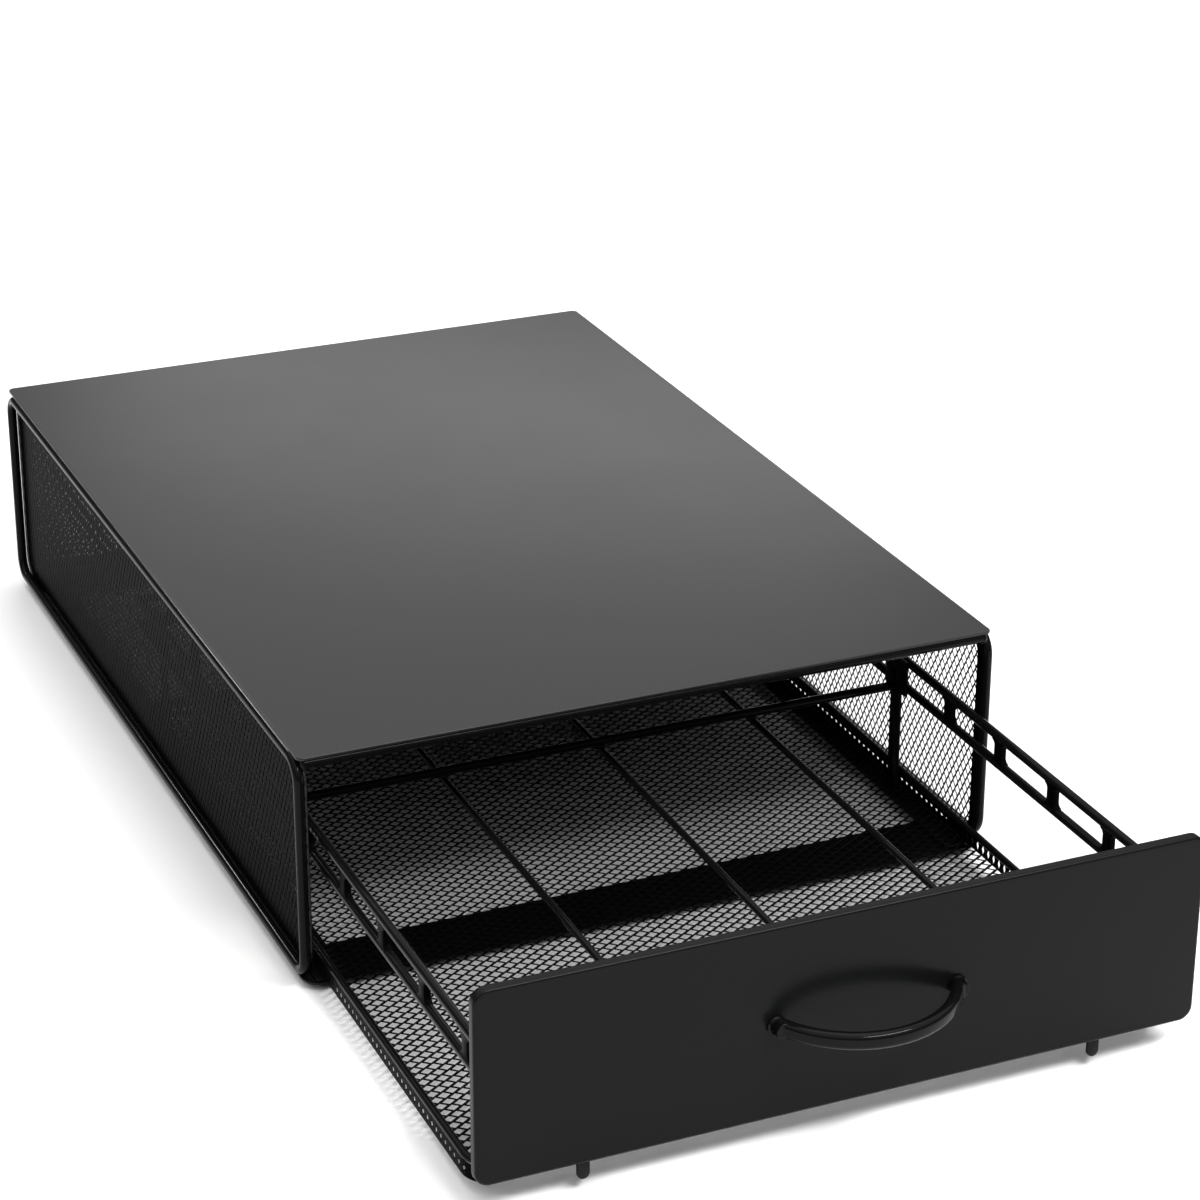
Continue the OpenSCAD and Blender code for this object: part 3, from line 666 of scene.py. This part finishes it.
pick(panel, "faces", lambda v: v.z < TINY)
bpy.ops.mesh.delete(type="ONLY_FACE")
bpy.ops.mesh.select_all(action="SELECT")
bpy.ops.mesh.normals_make_consistent(inside=False)
apply_modifier(panel, "SOLIDIFY", thickness=SHEET_T, offset=-1, use_even_offset=True)
stand_and_place(panel, ((low.x + high.x) / 2, high.y, (low.z + high.z) / 2), (("X", 90),))
finish_piece(panel, "drawer", panel_coat, ["front_panel"])
for node in ("left_panel_tab", "right_panel_tab"):
    finish_piece(softened(node, f"{node}_plate"), "drawer", folded_coat, [node])

# ---- Handle and its screws ----
# A bow of flattened bar, cast with a round foot at each end and coated in gloss black. Two zinc
# pan-head screws hold it from behind the panel.

HANDLE_BLACK = (0.0030, 0.0030, 0.0032, 1)
BAR_DEPTH = 5.2 * MM
BAR_HEIGHT = 7 * MM
BOW_SPARE = math.radians(12)
FOOT_DISC = 1.3 * MM
FOOT_STEP = 0.8 * MM
FOOT_LENGTH = 6 * MM
CAST_GRAIN = 0.35 * MM
SEAT_TRIM = 0.1 * MM

handle_coat = coated("handle_gloss_coat", HANDLE_BLACK, 0.1, peel=0.4, dust=0.05, bump=0.015,
                     ior=1.2)
low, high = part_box("handle")
wall_y, mid_z, mid_x = high.y, (low.z + high.z) / 2, (low.x + high.x) / 2
disc_r = (high.z - low.z) / 2
half_span = (high.x - low.x) / 2 - disc_r
reach = high.y - low.y - BAR_DEPTH / 2
bow_r = (half_span ** 2 + reach ** 2) / (2 * reach)
bow_centre = Vector((mid_x, wall_y + bow_r - reach, mid_z))
sweep = 2 * math.atan2(reach, half_span) + BOW_SPARE

# The bar's section is a circle drawn out to a flat oval, spun about the bow's centre.
bpy.ops.object.select_all(action="DESELECT")
bpy.ops.mesh.primitive_circle_add(vertices=32, radius=BAR_DEPTH / 2)
handle = bpy.context.object
handle.name = "handle_bow"
bpy.ops.object.mode_set(mode="EDIT")
for side in (-1, 1):
    pick(handle, "verts", lambda v: side * v.x > TINY)
    bpy.ops.transform.translate(value=(side * (BAR_HEIGHT - BAR_DEPTH) / 2, 0, 0))
bpy.ops.object.mode_set(mode="OBJECT")
handle.data.transform(Matrix.Rotation(math.radians(90), 4, "Y"))
handle.data.transform(Matrix.Translation((0, -bow_r, 0)))
handle.data.transform(Matrix.Rotation(sweep, 4, "Z"))
handle.data.transform(Matrix.Translation(bow_centre))
bpy.ops.object.mode_set(mode="EDIT")
bpy.ops.mesh.select_all(action="SELECT")
bpy.ops.mesh.spin(steps=72, angle=2 * sweep, center=bow_centre, axis=(0, 0, 1))
bpy.ops.mesh.select_all(action="SELECT")
bpy.ops.mesh.bisect(plane_co=(0, wall_y, 0), plane_no=(0, 1, 0), clear_outer=True,
                    use_fill=True)
# Each foot is a disc on the panel with a stem that grows into the bar.
for side in (-1, 1):
    bpy.ops.mesh.select_all(action="DESELECT")
    bpy.ops.mesh.primitive_circle_add(vertices=40, radius=disc_r, fill_type="NGON",
                                      location=(mid_x + side * half_span, wall_y, mid_z),
                                      rotation=(math.radians(90), 0, 0))
    bpy.ops.mesh.extrude_region_move(TRANSFORM_OT_translate={"value": (0, -FOOT_DISC, 0)})
    bpy.ops.mesh.inset(thickness=FOOT_STEP)
    bpy.ops.mesh.extrude_region_move(
        TRANSFORM_OT_translate={"value": (-side * FOOT_STEP, FOOT_DISC - FOOT_LENGTH, 0)})
bpy.ops.mesh.select_all(action="SELECT")
bpy.ops.mesh.normals_make_consistent(inside=False)
# Bar and feet become one cast body with soft inner corners, cut flat where it seats.
apply_modifier(handle, "REMESH", mode="VOXEL", voxel_size=CAST_GRAIN, adaptivity=0)
apply_modifier(handle, "SMOOTH", factor=0.5, iterations=6)
bpy.ops.object.mode_set(mode="EDIT")
bpy.ops.mesh.select_all(action="SELECT")
bpy.ops.mesh.bisect(plane_co=(0, wall_y - SEAT_TRIM, 0), plane_no=(0, 1, 0), clear_outer=True,
                    use_fill=True)
bpy.ops.mesh.extrude_region_move(TRANSFORM_OT_translate={"value": (0, SEAT_TRIM, 0)})
finish_piece(handle, "drawer", handle_coat, ["handle"], smooth=50)

ZINC_BRIGHT = (0.60, 0.60, 0.58, 1)
ZINC_BLUE = (0.46, 0.47, 0.48, 1)
ZINC_ROUGHNESS = (0.24, 0.4)
BLOOM_SCALE = 900
HEAD_HEIGHT = 2 * MM
HEAD_DOME = 0.9 * MM
SHAFT_R = 2 * MM
SHAFT_LAP = 0.5 * MM
RECESS_DEPTH = 1.1 * MM
RECESS_LENGTH = 4.6 * MM
RECESS_WIDTH = 0.9 * MM


def zinc_plate(name):
    """Bright zinc plating with a faint blotchy bloom."""
    material = bpy.data.materials.new(name)
    material.use_nodes = True
    nodes, links = material.node_tree.nodes, material.node_tree.links
    shader = nodes["Principled BSDF"]
    place = nodes.new("ShaderNodeTexCoord")
    bloom = nodes.new("ShaderNodeTexNoise")
    bloom.inputs["Scale"].default_value = BLOOM_SCALE
    bloom.inputs["Detail"].default_value = 3
    tone = nodes.new("ShaderNodeMix")
    tone.data_type = "RGBA"
    tone.inputs["A"].default_value = ZINC_BRIGHT
    tone.inputs["B"].default_value = ZINC_BLUE
    wear = nodes.new("ShaderNodeMapRange")
    wear.inputs["To Min"].default_value, wear.inputs["To Max"].default_value = ZINC_ROUGHNESS
    links.new(place.outputs["Object"], bloom.inputs["Vector"])
    links.new(bloom.outputs["Fac"], tone.inputs["Factor"])
    links.new(bloom.outputs["Fac"], wear.inputs["Value"])
    links.new(tone.outputs["Result"], shader.inputs["Base Color"])
    links.new(wear.outputs["Result"], shader.inputs["Roughness"])
    shader.inputs["Metallic"].default_value = 1
    return material


low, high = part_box("handle_screws")
head_r = (high.z - low.z) / 2
seat_y = high.y - HEAD_HEIGHT
# Head and shaft stand upright at the origin until the cross recess is cut.
bpy.ops.object.select_all(action="DESELECT")
bpy.ops.mesh.primitive_circle_add(vertices=40, radius=head_r, fill_type="NGON")
screw = bpy.context.object
screw.name = "handle_screw_pair"
bpy.ops.object.mode_set(mode="EDIT")
bpy.ops.mesh.extrude_region_move(TRANSFORM_OT_translate={"value": (0, 0, HEAD_HEIGHT)})
pick(screw, "edges", lambda v: v.z > HEAD_HEIGHT - TINY)
bpy.ops.mesh.bevel(offset=HEAD_DOME, segments=5, affect="EDGES")
bpy.ops.mesh.select_all(action="DESELECT")
bpy.ops.mesh.primitive_circle_add(vertices=32, radius=SHAFT_R, fill_type="NGON",
                                  location=(0, 0, low.y - seat_y))
bpy.ops.mesh.extrude_region_move(
    TRANSFORM_OT_translate={"value": (0, 0, seat_y - low.y + SHAFT_LAP)})
bpy.ops.mesh.select_all(action="SELECT")
bpy.ops.mesh.normals_make_consistent(inside=False)
bpy.ops.object.mode_set(mode="OBJECT")
for across, along in ((RECESS_LENGTH, RECESS_WIDTH), (RECESS_WIDTH, RECESS_LENGTH)):
    driver_slot = block("driver_slot", (-across / 2, -along / 2, HEAD_HEIGHT - RECESS_DEPTH),
                        (across / 2, along / 2, 2 * HEAD_HEIGHT))
    apply_modifier(screw, "BOOLEAN", operation="DIFFERENCE", solver="EXACT", object=driver_slot)
    bpy.data.objects.remove(driver_slot)
stand_and_place(screw, (mid_x - half_span, seat_y, mid_z), (("X", -90),))
apply_modifier(screw, "ARRAY", count=2, use_relative_offset=False, use_constant_offset=True,
               constant_offset_displace=(2 * half_span, 0, 0))
finish_piece(screw, "drawer", zinc_plate("screw_zinc"), ["handle_screws"])

# ---- Floor, light and camera ----
# A plain white table top in a white room that is bright overhead and dim at eye level. A soft box
# hangs above, a strip lights the floor before the panel, and two lamps behind put thin lights on
# the rods and a slow fade on the deck, as in a catalogue picture.

FLOOR_WHITE = (0.97, 0.97, 0.965, 1)
FLOOR_SIZE = 60
MOTTLE_SCALE = 3
FLOOR_ROUGHNESS = (0.62, 0.7)
SKY_PEAK = 1.6
SKY_BEFORE = ((0, 0.07), (1, 1.0), (0.3, 0.10), (0.62, 0.72), (0.85, 1.0))
SKY_BEHIND = ((0, 0.08), (1, 1.0), (0.4, 0.12), (0.62, 0.72), (0.85, 1.0))
BEHIND_SPAN = (0.1, 0.75)
# The camera is fitted to the corners of the deck and of the panel; the lens is in millimetres.
LENS_LENGTH = 101.15
SENSOR_WIDTH = 36
CAMERA_PLACE = Vector((-0.5150, -1.2469, 0.6944))
YAW, PITCH, ROLL = math.radians(23.517), math.radians(23.945), math.radians(0.173)

bpy.ops.object.select_all(action="DESELECT")
bpy.ops.mesh.primitive_grid_add(x_subdivisions=8, y_subdivisions=8, size=FLOOR_SIZE)
floor = bpy.context.object
floor.name = "floor"
white = bpy.data.materials.new("floor_white")
white.use_nodes = True
paint = white.node_tree.nodes["Principled BSDF"]
mottle = white.node_tree.nodes.new("ShaderNodeTexNoise")
mottle.inputs["Scale"].default_value = MOTTLE_SCALE
shade = white.node_tree.nodes.new("ShaderNodeMapRange")
for label, amount in zip(("From Min", "From Max", "To Min", "To Max"),
                         NOISE_SPAN + FLOOR_ROUGHNESS):
    shade.inputs[label].default_value = amount
white.node_tree.links.new(mottle.outputs["Fac"], shade.inputs["Value"])
white.node_tree.links.new(shade.outputs["Result"], paint.inputs["Roughness"])
paint.inputs["Base Color"].default_value = FLOOR_WHITE
floor.data.materials.append(white)

world = bpy.data.worlds.new("studio")
world.use_nodes = True
sky, sky_links = world.node_tree.nodes, world.node_tree.links
toward = sky.new("ShaderNodeTexCoord")
split = sky.new("ShaderNodeSeparateXYZ")
sky_links.new(toward.outputs["Generated"], split.inputs["Vector"])


def sky_by_height(steps):
    """Brightness of the room, in parts of its peak, by the height of the direction.

    The first two steps are the ramp's own ends."""
    ramp = sky.new("ShaderNodeValToRGB")
    for index, (height, amount) in enumerate(steps):
        if index < 2:
            stop = ramp.color_ramp.elements[index]
            stop.position = height
        else:
            stop = ramp.color_ramp.elements.new(height)
        stop.color = (amount, amount, amount, 1)
    sky_links.new(split.outputs["Z"], ramp.inputs["Fac"])
    return ramp.outputs["Color"]


facing = sky.new("ShaderNodeMapRange")
for label, amount in zip(("From Min", "From Max", "To Min", "To Max"), BEHIND_SPAN + (0, 1)):
    facing.inputs[label].default_value = amount
sky_links.new(split.outputs["Y"], facing.inputs["Value"])
room = sky.new("ShaderNodeMix")
room.data_type = "RGBA"
sky_links.new(facing.outputs["Result"], room.inputs["Factor"])
sky_links.new(sky_by_height(SKY_BEFORE), room.inputs["A"])
sky_links.new(sky_by_height(SKY_BEHIND), room.inputs["B"])
sky_links.new(room.outputs["Result"], sky["Background"].inputs["Color"])
sky["Background"].inputs["Strength"].default_value = SKY_PEAK
bpy.context.scene.world = world
bpy.context.scene.view_settings.view_transform = "Standard"


def softbox(name, place, target, size, watts):
    """A rectangular lamp at a place, turned towards its target."""
    lamp = bpy.data.lights.new(name, "AREA")
    lamp.shape = "RECTANGLE"
    lamp.size, lamp.size_y = size
    lamp.energy = watts
    holder = bpy.data.objects.new(name, lamp)
    bpy.context.scene.collection.objects.link(holder)
    holder.location = place
    aim = Vector(target) - Vector(place)
    holder.rotation_euler = aim.to_track_quat("-Z", "Y").to_euler()


softbox("top_softbox", place=(0.1, 0.1, 2.0), target=(0, 0, 0), size=(1.4, 1.4), watts=8)
softbox("front_strip", place=(0.5, -1.3, 1.7), target=(0.1, -0.3, 0), size=(1.3, 0.25), watts=30)
softbox("rim_lamp", place=(-0.45, 1.9, 1.2), target=(0, 0, 0.05), size=(0.2, 0.2), watts=4)
softbox("back_panel", place=(1.17, 2.9, 1.06), target=(0, 0.1, 0.1), size=(1.75, 1.04), watts=8.5)

lens = bpy.data.cameras.new("camera")
lens.sensor_width = SENSOR_WIDTH
lens.lens = LENS_LENGTH
lens.clip_start = 0.05
camera = bpy.data.objects.new("camera", lens)
bpy.context.scene.collection.objects.link(camera)
ahead = Vector((math.sin(YAW) * math.cos(PITCH), math.cos(YAW) * math.cos(PITCH),
                -math.sin(PITCH)))
level = Vector((math.cos(YAW), -math.sin(YAW), 0))
upward = level.cross(ahead)
right = math.cos(ROLL) * level + math.sin(ROLL) * upward
up = math.cos(ROLL) * upward - math.sin(ROLL) * level
turn = Matrix((right, up, -ahead)).transposed().to_4x4()
camera.matrix_world = Matrix.Translation(CAMERA_PLACE) @ turn
bpy.context.scene.camera = camera
